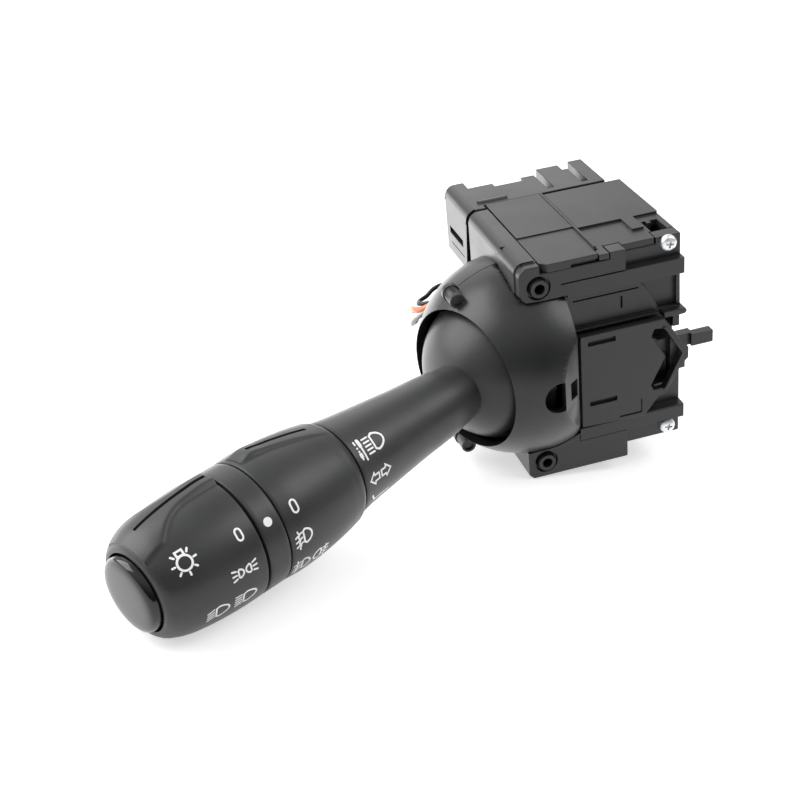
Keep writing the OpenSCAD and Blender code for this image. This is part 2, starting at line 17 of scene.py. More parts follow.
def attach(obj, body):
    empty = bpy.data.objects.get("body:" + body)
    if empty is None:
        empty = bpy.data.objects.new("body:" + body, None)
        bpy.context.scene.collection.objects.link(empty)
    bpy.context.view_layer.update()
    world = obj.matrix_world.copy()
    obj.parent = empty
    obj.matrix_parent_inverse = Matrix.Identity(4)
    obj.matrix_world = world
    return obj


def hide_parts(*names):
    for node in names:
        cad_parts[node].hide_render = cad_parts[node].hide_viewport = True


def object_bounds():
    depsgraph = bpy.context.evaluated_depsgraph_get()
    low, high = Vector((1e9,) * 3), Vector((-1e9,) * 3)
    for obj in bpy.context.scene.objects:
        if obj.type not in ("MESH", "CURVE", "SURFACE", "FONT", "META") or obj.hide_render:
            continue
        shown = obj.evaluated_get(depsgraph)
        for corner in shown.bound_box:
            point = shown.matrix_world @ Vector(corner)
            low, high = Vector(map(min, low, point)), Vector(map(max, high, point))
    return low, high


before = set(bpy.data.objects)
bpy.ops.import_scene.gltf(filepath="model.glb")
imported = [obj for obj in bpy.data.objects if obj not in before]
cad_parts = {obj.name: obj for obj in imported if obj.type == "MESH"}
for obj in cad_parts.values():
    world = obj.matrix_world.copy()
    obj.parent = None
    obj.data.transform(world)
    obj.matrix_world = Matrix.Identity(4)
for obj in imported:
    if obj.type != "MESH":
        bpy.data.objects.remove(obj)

mm = 0.001
solid_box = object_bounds()

# %% [markdown]
# ## Camera
# A long lens looks down on the driver's side of the case. Its angles and distance were worked out from
# the lines of the case that run to two vanishing points. The image is square, 800 pixels wide, and the
# lens sits 1410 of them in front of it.

# %% Camera
def camera_axes(yaw, pitch, roll):
    ahead = Vector((math.sin(yaw) * math.cos(pitch), math.cos(yaw) * math.cos(pitch), -math.sin(pitch)))
    level = Vector((math.cos(yaw), -math.sin(yaw), 0))
    over = level.cross(ahead)
    right = math.cos(roll) * level + math.sin(roll) * over
    return right, over * math.cos(roll) - level * math.sin(roll), -ahead


right, up, back = camera_axes(*(math.radians(a) for a in (13.2, 31.2, -6.2)))
camera = bpy.data.objects.new("camera", bpy.data.cameras.new("camera"))
bpy.context.scene.collection.objects.link(camera)
camera.matrix_world = Matrix((right, up, back)).transposed().to_4x4()
camera.location = (-0.1036, -0.2838, 0.1803)
focal_pixels, image_pixels, sensor_width = 1410, 800, 36
camera.data.sensor_width = sensor_width
camera.data.lens = focal_pixels / image_pixels * sensor_width
camera.data.clip_start = 0.01
bpy.context.scene.camera = camera
bpy.context.scene.view_settings.view_transform = "Standard"
print("lens %.1f mm" % camera.data.lens)

# %% [markdown]
# ## Floor and light
# The switch lies on a white table, on the lower left edge of its case and on the knob, so the floor is
# tipped a little in the frame of the switch. Black plastic shows its surroundings more than its colour,
# so the light is built round what each side mirrors: a large soft lamp high at the left, a smaller one
# high at the right, one behind for the tops, and a room that is pale at the back and dark behind the
# camera. The floor turns white for the camera by a little light of its own, which keeps the soft shadows.
# In what the object mirrors, the floor's own glow is painted brighter from front to back, a painted
# reflection that keeps the front faces dark.

# %% Floor
def stage_floor():
    below, reach, floor_glow = 29.75, 0.9, 0.55
    normal = Vector((0.161, 0, 0.987)).normalized()
    across = Vector((0, 1, 0)).cross(normal)
    centre = normal * -below * mm
    mesh = bpy.data.meshes.new("floor")
    corners = [centre + across * x + Vector((0, y, 0))
               for x, y in ((-reach, -reach), (reach, -reach), (reach, reach), (-reach, reach))]
    mesh.from_pydata(corners, [], [(0, 1, 2, 3)])
    floor = bpy.data.objects.new("floor", mesh)
    bpy.context.scene.collection.objects.link(floor)
    if mesh.polygons[0].normal.z < 0:
        mesh.flip_normals()
    finish = bpy.data.materials.new("white_table")
    finish.use_nodes = True
    tree = finish.node_tree
    shader = tree.nodes["Principled BSDF"]
    shader.inputs["Base Color"].default_value = (0.8, 0.8, 0.8, 1)
    shader.inputs["Roughness"].default_value = 0.9
    shader.inputs["Emission Color"].default_value = (1, 1, 1, 1)
    # Painted reflection: for reflected rays the table's own glow is painted brighter behind the object than
    # in front of it
    place = tree.nodes.new("ShaderNodeSeparateXYZ")
    tree.links.new(tree.nodes.new("ShaderNodeTexCoord").outputs["Object"], place.inputs[0])
    # painted reflection glow of the floor, rising from its front to its back
    painted_reflection_glow = tree.nodes.new("ShaderNodeMapRange")
    for name, value in (("From Min", -0.05), ("From Max", 0.07), ("To Min", 0.2), ("To Max", 1.0)):
        painted_reflection_glow.inputs[name].default_value = value
    tree.links.new(place.outputs["Y"], painted_reflection_glow.inputs["Value"])
    glow = seen_as(tree, {"Is Camera Ray": floor_glow, "Is Glossy Ray": painted_reflection_glow.outputs["Result"],
                          "Is Transmission Ray": floor_glow})
    tree.links.new(glow, shader.inputs["Emission Strength"])
    mesh.materials.append(finish)


def seen_as(tree, strengths):
    path = tree.nodes.new("ShaderNodeLightPath")
    last = None
    for name, strength in strengths.items():
        part = tree.nodes.new("ShaderNodeMath")
        part.operation = "MULTIPLY"
        tree.links.new(path.outputs[name], part.inputs[0])
        if isinstance(strength, float):
            part.inputs[1].default_value = strength
        else:
            tree.links.new(strength, part.inputs[1])
        if last:
            both = tree.nodes.new("ShaderNodeMath")
            both.operation = "MAXIMUM"
            tree.links.new(last, both.inputs[0])
            tree.links.new(part.outputs[0], both.inputs[1])
            part = both
        last = part.outputs[0]
    return last


stage_floor()

# %% Light
def soft_lamp(name, place, target, size, power):
    lamp = bpy.data.lights.new(name, "AREA")
    lamp.size = size
    lamp.energy = power
    thing = bpy.data.objects.new(name, lamp)
    thing.location = place
    thing.rotation_euler = (Vector(target) - Vector(place)).to_track_quat("-Z", "Y").to_euler()
    bpy.context.scene.collection.objects.link(thing)


def white_sky(front, behind):
    world = bpy.data.worlds.new("sky")
    world.use_nodes = True
    tree = world.node_tree
    toward = tree.nodes.new("ShaderNodeVectorMath")
    toward.operation = "DOT_PRODUCT"
    toward.inputs[1].default_value = (0, 0.7, 0.7)
    tree.links.new(tree.nodes.new("ShaderNodeTexCoord").outputs["Generated"], toward.inputs[0])
    room = tree.nodes.new("ShaderNodeMapRange")
    room.interpolation_type = "SMOOTHSTEP"
    for name, value in (("From Min", -0.6), ("From Max", 0.35), ("To Min", front), ("To Max", behind)):
        room.inputs[name].default_value = value
    tree.links.new(toward.outputs["Value"], room.inputs["Value"])
    strength = tree.nodes.new("ShaderNodeMapRange")
    tree.links.new(room.outputs["Result"], strength.inputs["To Min"])
    strength.inputs["To Max"].default_value = 1.0
    tree.links.new(seen_as(tree, {"Is Camera Ray": 1.0}), strength.inputs["Value"])
    sky = tree.nodes["Background"]
    sky.inputs["Color"].default_value = (1, 1, 1, 1)
    tree.links.new(strength.outputs["Result"], sky.inputs["Strength"])
    bpy.context.scene.world = world


white_sky(0.08, 0.7)
soft_lamp("left_lamp", (-0.50, 0.20, 0.50), (-0.02, 0.02, 0), 0.66, 5.0)
soft_lamp("right_lamp", (0.55, -0.16, 0.50), (0, 0.02, 0), 0.4, 1.8)
soft_lamp("rear_lamp", (0.05, 0.75, 0.42), (0, 0.02, 0), 0.6, 0.7)

# %% [markdown]
# ## Moulded plastic
# The case and the stalk are glass-filled nylon and a softer grained plastic, both near black. What the
# eye reads is not the colour but the satin surface: a fine spark-eroded grain, patches that are a little
# smoother where the tool was polished, and faint flow marks. Each finish is one Principled shader whose
# roughness and relief come from noise in object space, at millimetre scale, so the pattern stays on the
# piece in every pose. Such plastic is nearly a mirror at a glancing angle, yet dark head on. Two thin
# layers of low index, the base and a coat, give that steep change, where one layer would be too bright in
# front or too dull at the side.

# %% Finish helpers
noise_low, noise_high, noise_detail = 0.3, 0.7, 3
thin_layer_ior, patches_per_mm = 1.36, 0.11


def new_finish(name):
    finish = bpy.data.materials.new(name)
    finish.use_nodes = True
    tree = finish.node_tree
    coords = tree.nodes.new("ShaderNodeTexCoord")
    return finish, tree, tree.nodes["Principled BSDF"], coords.outputs["Object"]


def noise(tree, coords, per_mm, stretch=None):
    if stretch:
        turn = tree.nodes.new("ShaderNodeMapping")
        turn.inputs["Scale"].default_value = stretch
        tree.links.new(coords, turn.inputs["Vector"])
        coords = turn.outputs["Vector"]
    node = tree.nodes.new("ShaderNodeTexNoise")
    node.inputs["Scale"].default_value = per_mm / mm
    node.inputs["Detail"].default_value = noise_detail
    tree.links.new(coords, node.inputs["Vector"])
    return node.outputs["Fac"]


def spread(tree, value, low, high):
    node = tree.nodes.new("ShaderNodeMapRange")
    node.inputs["From Min"].default_value = noise_low
    node.inputs["From Max"].default_value = noise_high
    node.inputs["To Min"].default_value = low
    node.inputs["To Max"].default_value = high
    tree.links.new(value, node.inputs["Value"])
    return node.outputs["Result"]


def two_tone(tree, value, dark, light):
    node = tree.nodes.new("ShaderNodeValToRGB")
    node.color_ramp.elements[0].position = noise_low
    node.color_ramp.elements[1].position = noise_high
    node.color_ramp.elements[0].color = (*dark, 1)
    node.color_ramp.elements[1].color = (*light, 1)
    tree.links.new(value, node.inputs["Fac"])
    return node.outputs["Color"]


def relief(tree, shader, value, height, strength, edge=0):
    node = tree.nodes.new("ShaderNodeBump")
    node.inputs["Distance"].default_value = height
    node.inputs["Strength"].default_value = strength
    tree.links.new(value, node.inputs["Height"])
    if edge:
        rounded = tree.nodes.new("ShaderNodeBevel")
        rounded.samples = 6
        rounded.inputs["Radius"].default_value = edge
        tree.links.new(rounded.outputs["Normal"], node.inputs["Normal"])
    tree.links.new(node.outputs["Normal"], shader.inputs["Normal"])
    tree.links.new(node.outputs["Normal"], shader.inputs["Coat Normal"])


# %% Finishes
def moulded(name, tone, rough, grain=0.9, height=0.03, patch=0.06, edge=0):
    finish, tree, shader, coords = new_finish(name)
    shader.inputs["IOR"].default_value = thin_layer_ior
    shader.inputs["Coat Weight"].default_value = 1.0
    shader.inputs["Coat IOR"].default_value = thin_layer_ior
    shader.inputs["Coat Roughness"].default_value = rough - 0.1
    patches = noise(tree, coords, patches_per_mm)
    light = tuple(c * 1.25 for c in tone)
    tree.links.new(two_tone(tree, patches, tone, light), shader.inputs["Base Color"])
    tree.links.new(spread(tree, patches, rough - patch, rough + patch), shader.inputs["Roughness"])
    relief(tree, shader, noise(tree, coords, grain), height * mm, 0.35, edge * mm)
    return finish


def metal(name, tone, rough, stretch=(1, 1, 1), per_mm=0.8, height=0.01):
    finish, tree, shader, coords = new_finish(name)
    lines = noise(tree, coords, per_mm, stretch)
    light = tuple(min(1, c * 1.12) for c in tone)
    tree.links.new(two_tone(tree, lines, tone, light), shader.inputs["Base Color"])
    tree.links.new(spread(tree, lines, rough - 0.07, rough + 0.07), shader.inputs["Roughness"])
    shader.inputs["Metallic"].default_value = 1.0
    relief(tree, shader, lines, height * mm, 0.4)
    return finish


finishes = {
    "case_plastic": moulded("case_plastic", (0.013, 0.0135, 0.0145), 0.40),
    "cover_plastic": moulded("cover_plastic", (0.019, 0.0195, 0.0205), 0.47, 0.7, 0.04),
    "dome_plastic": moulded("dome_plastic", (0.012, 0.0125, 0.0135), 0.41, 0.8, 0.05, 0.1, edge=0.2),
    "stalk_plastic": moulded("stalk_plastic", (0.020, 0.0205, 0.0215), 0.47, 1.4, 0.03, 0.08),
    "button_gloss": moulded("button_gloss", (0.006, 0.006, 0.0065), 0.14, 0.05, 0.01, 0.03),
    "zinc": metal("zinc", (0.84, 0.86, 0.88), 0.42),
    "steel": metal("steel", (0.55, 0.56, 0.57), 0.25, (1, 1, 6)),
    "die_cast": metal("die_cast", (0.38, 0.39, 0.40), 0.45, per_mm=1.5, height=0.04),
    "nylon": moulded("nylon", (0.62, 0.60, 0.54), 0.42, 0.6),
    "contact_metal": metal("contact_metal", (0.72, 0.52, 0.26), 0.24, (1, 6, 1)),
    "board": moulded("board", (0.02, 0.10, 0.045), 0.38, 1.2, 0.015),
    "lead_black": moulded("lead_black", (0.008, 0.008, 0.0085), 0.38, 0.6, 0.02),
    "lead_orange": moulded("lead_orange", (0.78, 0.24, 0.11), 0.36, 0.6, 0.02),
    "lead_grey": moulded("lead_grey", (0.42, 0.42, 0.40), 0.38, 0.6, 0.02),
    "white_print": moulded("white_print", (0.93, 0.93, 0.92), 0.5, 2.0, 0.01),
}
print(len(finishes), "finishes")

# %% [markdown]
# ## Softened copies of the moulded solids
# A real moulding has no knife edges: each has a radius of a few tenths of a millimetre that catches the
# light. The solids of the case come with sharp edges, so each gets a copy with its loose triangles
# merged, its flat facets joined, and its edges bevelled. One width for all would fail, because beside a
# groove there is less room than on an open face, so each edge gets the width that its two faces leave
# room for.

# %% Softened copy
def room_on(face, edge):
    start, end = edge.verts[0].co, edge.verts[1].co
    length = (end - start).length
    along = (end - start) / length
    inward = face.normal.cross(along)
    if sum((v.co - start).dot(inward) for v in face.verts) < 0:
        inward.negate()
    least = 1.0
    points = [v.co for v in face.verts]
    for i, p in enumerate(points):
        for k in range(5):
            c = p.lerp(points[(i + 1) % len(points)], k / 4) - start
            if c.dot(inward) > 1e-5 and -1e-5 < c.dot(along) < length + 1e-5:
                least = min(least, c.dot(inward))
    return least


def edge_room(edge):
    least = min(room_on(face, edge) for face in edge.link_faces)
    for v in edge.verts:
        away = (edge.other_vert(v).co - v.co).normalized()
        for other in v.link_edges:
            if other is not edge and abs((other.other_vert(v).co - v.co).normalized().dot(away)) < 0.9:
                least = min(least, other.calc_length())
    return least


def merged(node):
    shell = bmesh.new()
    shell.from_mesh(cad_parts[node].data)
    bmesh.ops.remove_doubles(shell, verts=shell.verts, dist=2e-6)
    bmesh.ops.dissolve_limit(shell, angle_limit=math.radians(0.4), verts=shell.verts, edges=shell.edges)
    return shell


def weigh_edges(shell, width, skip):
    sharp, share_of_room = math.radians(30), 0.4
    weight = shell.edges.layers.float.new("bevel_weight_edge")
    for edge in shell.edges:
        if len(edge.link_faces) == 2 and edge.calc_face_angle(0) > sharp:
            if not any(v.index in skip for v in edge.verts):
                edge[weight] = min(1.0, share_of_room * edge_room(edge) / width)


def final_mesh(thing):
    return bpy.data.meshes.new_from_object(thing.evaluated_get(bpy.context.evaluated_depsgraph_get()))


def bevelled(name, mesh, width):
    thing = bpy.data.objects.new(name, mesh)
    bpy.context.scene.collection.objects.link(thing)
    bevel = thing.modifiers.new("edges", "BEVEL")
    bevel.width, bevel.segments, bevel.limit_method = width, 2, "WEIGHT"
    bevel.use_clamp_overlap = False
    out = final_mesh(thing)
    bpy.data.objects.remove(thing)
    return out


def strays(mesh, shell, width):
    limit = width * 1.2
    near = kdtree.KDTree(len(shell.verts))
    for v in shell.verts:
        near.insert(v.co, v.index)
    near.balance()
    tree = BVHTree.FromBMesh(shell)
    bad = set()
    for v in mesh.vertices:
        hit = tree.find_nearest(v.co)
        if hit[3] > limit:
            bad.add(near.find(v.co)[1])
            bad.add(near.find(hit[0])[1])
    mesh.calc_loop_triangles()
    for triangle in mesh.loop_triangles:
        a, b, c = (mesh.vertices[i].co for i in triangle.vertices)
        for spot in ((a + b + c) / 3, (a + b) / 2, (b + c) / 2, (c + a) / 2):
            if tree.find_nearest(spot)[3] > limit:
                bad |= {near.find(corner)[1] for corner in (a, b, c)}
    return bad


def show_smooth(mesh, angle=32):
    mesh.shade_smooth()
    mesh.set_sharp_from_angle(angle=math.radians(angle))


def place(name, mesh, finish, body, *nodes, slot=None):
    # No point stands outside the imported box
    for v in mesh.vertices:
        v.co = Vector([min(max(c, low), high) for c, low, high in zip(v.co, *solid_box)])
    thing = bpy.data.objects.new(name, mesh)
    bpy.context.scene.collection.objects.link(thing)
    mesh.materials.clear()
    mesh.materials.append(finishes[finish])
    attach(thing, body)
    if nodes:
        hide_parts(*nodes)
    return thing


def soften(node, body, finish, width):
    skip = set()
    for attempt in range(6):
        shell = merged(node)
        shell.verts.ensure_lookup_table()
        shell.verts.index_update()
        weigh_edges(shell, width, skip)
        mesh = bpy.data.meshes.new(node)
        shell.to_mesh(mesh)
        mesh = bevelled("trial", mesh, width)
        bad = strays(mesh, shell, width)
        shell.free()
        if not bad:
            break
        skip |= bad
    show_smooth(mesh)
    thing = place(node + "_softened", mesh, finish, body, node)
    flat = thing.modifiers.new("flat_faces", "WEIGHTED_NORMAL")
    flat.keep_sharp = True
    print("%s: %d faces after %d passes, %d astray" % (node, len(mesh.polygons), attempt + 1, len(bad)))


for node, body, finish, width in (
        ("main_case", "housing", "case_plastic", 0.3),
        ("rear_housing", "housing", "case_plastic", 0.3),
        ("left_cover", "housing", "cover_plastic", 0.35),
        ("right_cover", "housing", "cover_plastic", 0.35),
        ("latch_plate", "housing", "case_plastic", 0.25),
        ("cancel_finger", "cancel", "case_plastic", 0.4)):
    soften(node, body, finish, width * mm)

# %% [markdown]
# ## Dome and ball
# Where a flat face cuts a sphere, the facets beside the edge are slivers, and a bevel has no room on
# them. These shells keep their exact shape, and their finish rounds the light on the edges instead, with
# a Bevel node.

# %% Dome and ball
def as_moulded(node, body, finish):
    shell = merged(node)
    mesh = bpy.data.meshes.new(node)
    shell.to_mesh(mesh)
    shell.free()
    show_smooth(mesh)
    place(node + "_shell", mesh, finish, body, node)
    print("%s: %d faces" % (node, len(mesh.polygons)))


as_moulded("dome_front", "housing", "dome_plastic")
as_moulded("dome_rear", "housing", "dome_plastic")
as_moulded("ball_cap", "lever", "stalk_plastic")

# %% [markdown]
# ## The stalk's own frame
# Every piece of the stalk is turned round one line. That line starts beside the ball and runs left and
# towards the driver. A place on the stalk is given as the distance u along it, the angle round it, and
# the radius.

# %% Stalk frame
lean = math.radians(180 + 28.8)
ball = Vector((-7.1, 13.6, 0)) * mm
stalk_frame = Matrix.Translation(ball) @ Matrix.Rotation(lean, 4, "Z") @ Matrix.Translation((0, 2 * mm, 0))


def on_stalk(u, angle, radius):
    a = math.radians(angle)
    return stalk_frame @ Vector((u, radius * math.cos(a), radius * math.sin(a)))


stem_rows = [(14, 7.2), (19, 7.6), (25, 8.4), (36, 9.3), (47, 10.4), (56, 11.4), (60.6, 12.1)]
fog_rows = [(60.9, 12.1), (61.6, 12.7), (64, 13.4), (68, 14.1), (72, 14.6), (77, 15), (81, 15.1),
            (85.5, 14.8)]
knob_rows = [(91.9, 14.8), (97, 14.8), (102.6, 14.5), (107, 14), (110.3, 13.4), (113.2, 12.4), (115, 11.4),
             (116, 10.3)]


def radius_at(rows, u):
    xs, ys = np.array(rows).T
    i = int(np.clip(np.searchsorted(xs, u) - 1, 0, len(xs) - 2))
    slopes = np.gradient(ys, xs)
    h = xs[i + 1] - xs[i]
    t = min(max((u - xs[i]) / h, 0), 1)
    a, b = ys[i], ys[i + 1]
    return ((2 * t**3 - 3 * t**2 + 1) * a + (t**3 - 2 * t**2 + t) * h * slopes[i]
            + (3 * t**2 - 2 * t**3) * b + (t**3 - t**2) * h * slopes[i + 1])


print("knob radius half way %.2f mm" % radius_at(knob_rows, 104))

# %% [markdown]
# ## Turned pieces
# The stem, the marker ring and the horn button have the same section all round, so one Geometry Nodes
# tree turns their profiles. It lays a grid with one row for each profile point, lifts each row to its
# radius, and closes the seam. The profile is a list of points, so the sizes stay readable and any other
# turned piece can use the tree.

# %% Tree that turns a profile
def socket_id(tree, name):
    return next(s.identifier for s in tree.interface.items_tree if s.name == name and s.in_out == "INPUT")


def math_node(tree, kind, a, b=None):
    node = tree.nodes.new("ShaderNodeMath")
    node.operation = kind
    for socket, value in zip(node.inputs, (a, b)):
        if isinstance(value, (int, float)):
            socket.default_value = value
        elif value is not None:
            tree.links.new(value, socket)
    return node.outputs[0]


def new_tree(name, start, values, end):
    tree = bpy.data.node_groups.new(name, "GeometryNodeTree")
    tree.interface.new_socket(start, in_out="INPUT", socket_type="NodeSocketGeometry")
    for value, kind in values.items():
        tree.interface.new_socket(value, in_out="INPUT", socket_type="NodeSocket" + kind)
    tree.interface.new_socket(end, in_out="OUTPUT", socket_type="NodeSocketGeometry")
    return tree, tree.nodes.new("NodeGroupInput"), tree.nodes.new("NodeGroupOutput")


def turning_tree():
    tree, given, result = new_tree("turn_profile", "Profile",
                                   {"Points": "Int", "Sides": "Int", "Finish": "Material"}, "Turned")
    grid = tree.nodes.new("GeometryNodeMeshGrid")
    around = math_node(tree, "ADD", given.outputs["Sides"], 1)
    tree.links.new(given.outputs["Points"], grid.inputs["Vertices X"])
    tree.links.new(around, grid.inputs["Vertices Y"])
    index = tree.nodes.new("GeometryNodeInputIndex").outputs[0]
    row = math_node(tree, "FLOOR", math_node(tree, "DIVIDE", math_node(tree, "ADD", index, 0.5), around))
    column = math_node(tree, "SUBTRACT", index, math_node(tree, "MULTIPLY", row, around))
    angle = math_node(tree, "MULTIPLY", column, 2 * math.pi)
    angle = math_node(tree, "DIVIDE", angle, given.outputs["Sides"])
    pick = tree.nodes.new("GeometryNodeSampleIndex")
    pick.data_type, pick.domain = "FLOAT_VECTOR", "POINT"
    tree.links.new(given.outputs["Profile"], pick.inputs["Geometry"])
    tree.links.new(tree.nodes.new("GeometryNodeInputPosition").outputs[0], pick.inputs["Value"])
    tree.links.new(row, pick.inputs["Index"])
    point = tree.nodes.new("ShaderNodeSeparateXYZ")
    tree.links.new(pick.outputs["Value"], point.inputs[0])
    place_at = tree.nodes.new("ShaderNodeCombineXYZ")
    tree.links.new(point.outputs["X"], place_at.inputs["X"])
    for kind, axis in (("COSINE", "Y"), ("SINE", "Z")):
        along = math_node(tree, "MULTIPLY", point.outputs["Y"], math_node(tree, kind, angle))
        tree.links.new(along, place_at.inputs[axis])
    moved = tree.nodes.new("GeometryNodeSetPosition")
    tree.links.new(grid.outputs["Mesh"], moved.inputs["Geometry"])
    tree.links.new(place_at.outputs[0], moved.inputs["Position"])
    joined = tree.nodes.new("GeometryNodeMergeByDistance")
    joined.inputs["Distance"].default_value = 1e-6
    tree.links.new(moved.outputs[0], joined.inputs[0])
    end_tree(tree, joined.outputs[0], given, result)
    return tree


def end_tree(tree, geometry, given, result):
    real = tree.nodes.new("GeometryNodeRealizeInstances")
    painted = tree.nodes.new("GeometryNodeSetMaterial")
    tree.links.new(geometry, real.inputs[0])
    tree.links.new(real.outputs[0], painted.inputs["Geometry"])
    tree.links.new(given.outputs["Finish"], painted.inputs["Material"])
    tree.links.new(painted.outputs[0], result.inputs[0])


def run_tree(tree, mesh, values):
    thing = bpy.data.objects.new("working", mesh)
    bpy.context.scene.collection.objects.link(thing)
    nodes = thing.modifiers.new("nodes", "NODES")
    nodes.node_group = tree
    for name, value in values.items():
        nodes[socket_id(tree, name)] = value
    made = final_mesh(thing)
    thing.modifiers.remove(nodes)
    bpy.data.objects.remove(thing)
    return made


def outward(mesh):
    shell = bmesh.new()
    shell.from_mesh(mesh)
    bmesh.ops.remove_doubles(shell, verts=shell.verts, dist=1e-6)
    bmesh.ops.recalc_face_normals(shell, faces=shell.faces)
    shell.to_mesh(mesh)
    shell.free()


turn_profile = turning_tree()


def turned_mesh(name, rows, finish, sides):
    outline = bpy.data.meshes.new(name)
    outline.from_pydata([(u * mm, r * mm, 0) for u, r in rows], [], [])
    mesh = run_tree(turn_profile, outline, {"Points": len(rows), "Sides": sides, "Finish": finishes[finish]})
    outward(mesh)
    return mesh


# %% Stem, marker ring and horn button
def turn(name, rows, finish, body, *nodes, sides=128):
    mesh = turned_mesh(name, rows, finish, sides)
    mesh.transform(stalk_frame)
    show_smooth(mesh)
    print("%s: %d faces" % (name, len(mesh.polygons)))
    return place(name, mesh, finish, body, *nodes)


def eased(rows, step=1.0, lip=0.3):
    start, end = rows[0][0], rows[-1][0]
    n = int((end - start - 2 * lip) / step) + 2
    middle = [(u, radius_at(rows, u)) for u in np.linspace(start + lip, end - lip, n)]
    first, last = radius_at(rows, start), radius_at(rows, end)
    return ([(start, first - lip), (start + 0.3 * lip, first - 0.3 * lip)] + middle
            + [(end - 0.3 * lip, last - 0.3 * lip), (end, last - lip)])


stem_line = eased([(16.5, 7.4)] + stem_rows[1:]) + [(60.6, 5), (16.5, 5)]
turn("stem", stem_line + stem_line[:1], "stalk_plastic", "lever", "stem_shell")
# A lip of the band reaches into the knob, so no light comes through the seam
ring_line = (eased([(85.8, 14.8), (88.7, 14.8), (91.6, 14.8)])
             + [(91.6, 12.8), (92.55, 12.8), (92.55, 4), (46.4, 4), (46.4, 4.5), (85.8, 4.5)])
turn("marker_band", ring_line + ring_line[:1], "stalk_plastic", "lever", "marker_ring")
button_line = [(109.6, 0), (109.6, 8.9), (116.6, 8.9), (117.1, 8.83), (117.6, 8.55), (117.95, 8.05),
               (118.15, 7.3), (118.24, 6), (118.28, 4), (118.3, 2), (118.3, 0)]
turn("button_cap", button_line, "button_gloss", "button", "horn_button", sides=96)

# %% [markdown]
# ## Fog ring and knob
# These two have a finger ridge with a slot along it. The outside is a height map round the axis: the
# turned profile, the ridge that rises from it with soft edges, and the slot cut into the crest. The grid
# is fine near the ridge and coarse on the plain side, and its ends run down into a bore, so the shell is
# closed.

# %% Ridged ring
ridge_reach, ridge_half = 9.0, 3.3
ridge_foot, ridge_slope = 14.1, 1.93
ridge_angle, ridge_radius = 97, 14.5


def soft_max(a, b, k):
    h = max(k - abs(a - b), 0) / k
    return max(a, b) + h * h * k / 4


def ridge_height(base, crest, t, half):
    flank = ridge_foot + (half - abs(t)) * ridge_slope
    return soft_max(base, -soft_max(-crest, -flank, 1.0), 0.8)


def ring_surface(rows, crest_rows, slot_span, slot_half, slot_floor, u, t):
    base = radius_at(rows, u)
    if abs(t) < ridge_reach and crest_rows[0][0] <= u <= crest_rows[-1][0]:
        spread_out = 0.055 * max(0, u - 101) ** 2
        half = min(ridge_half + spread_out, ridge_reach - 1)
        base = ridge_height(base, radius_at(crest_rows, u), t, half)
        if slot_span[0] < u < slot_span[1] and abs(t) < slot_half:
            base = min(base, slot_floor)
    return base


def ridge_columns(slot_half):
    near = [0.0, slot_half - 0.08, slot_half - 0.01, slot_half + 0.01, slot_half + 0.08]
    near += list(np.arange(slot_half + 0.3, ridge_reach + 0.01, 0.3))
    return [-t for t in near[:0:-1]] + near


def ridged_ring(name, rows, crest_rows, slot_span, slot_half, slot_floor, slant, bore, node, body):
    start, end = rows[0][0], rows[-1][0]
    marks = [u + s for u in slot_span for s in (-0.12, -0.01, 0.01, 0.12)]
    marks += [crest_rows[-1][0] + s for s in (-0.01, 0.01)]
    even = np.arange(start + 0.3, end - 0.29, 0.6)
    steps = sorted(set(np.round(np.concatenate([even, marks, [end - 0.3]]), 3)))
    steps = [u for u in steps if start + 0.29 <= u <= end - 0.29]
    lines = [(start, 0.3), (start + 0.09, 0.09)] + [(u, 0) for u in steps] + [(end - 0.09, 0.09), (end, 0.3)]
    near = ridge_columns(slot_half)
    half = math.degrees(near[-1] / ridge_radius)
    far = list(np.linspace(half, 360 - half, 102))[1:-1]
    verts = []
    for u, drop in lines:
        aside = (u - slant[0]) * math.tan(math.radians(slant[1]))
        middle = ridge_angle + math.degrees(math.asin(aside / ridge_radius))
        for t in near:
            r = ring_surface(rows, crest_rows, slot_span, slot_half, slot_floor, u, t) - drop
            verts.append(on_stalk(u * mm, middle + math.degrees(t / ridge_radius), r * mm))
        plain = radius_at(rows, u) - drop
        verts += [on_stalk(u * mm, middle + a, plain * mm) for a in far]
    count = len(near) + len(far)
    for u, r in bore:
        for a in [math.degrees(t / ridge_radius) for t in near] + far:
            verts.append(on_stalk(u * mm, ridge_angle + a, r * mm))
    rings = len(lines) + len(bore)
    faces = [(i * count + j, i * count + (j + 1) % count, (i + 1) % rings * count + (j + 1) % count,
              (i + 1) % rings * count + j) for i in range(rings) for j in range(count)]
    mesh = bpy.data.meshes.new(name)
    mesh.from_pydata(verts, [], faces)
    outward(mesh)
    show_smooth(mesh, 38)
    print("%s: %d faces" % (name, len(mesh.polygons)))
    return place(name, mesh, "stalk_plastic", body, node)


fog_crest = [(61.4, 12.4), (66, 13.9), (72, 15.1), (77, 15.7), (82, 15.9), (84.4, 14.9)]
ridged_ring("fog_lamp_ring", fog_rows, fog_crest, (65.5, 80.8), 0.5, 13, (75, 7), [(85.5, 5), (60.9, 5)],
            "fog_ring", "fog_control")
knob_crest = [(92.2, 15.9), (95, 16), (99, 15.7), (104, 15.1), (109, 14.1), (113, 12.8), (115.4, 11.4)]
ridged_ring("lamp_knob", [(92.2, 14.8)] + knob_rows[1:], knob_crest, (92.9, 112.2), 0.5, 12.2, (95, 0),
            [(116, 9.4), (107.4, 9.4), (105.6, 8), (100, 4), (92.8, 4), (92.8, 13.2), (92.2, 13.2)],
            "light_knob", "light_control")

# %% [markdown]
# ## Printed symbols
# The rings and the stem carry white lamp symbols. Each is drawn flat, in millimetres, with x towards the
# root of the stalk and y up. The strokes become ribbons with mitred corners, and every point is then
# wrapped on the stalk at its own distance and angle, a hair above the plastic. They are real, thin shapes
# and not a picture, so they turn with their ring.

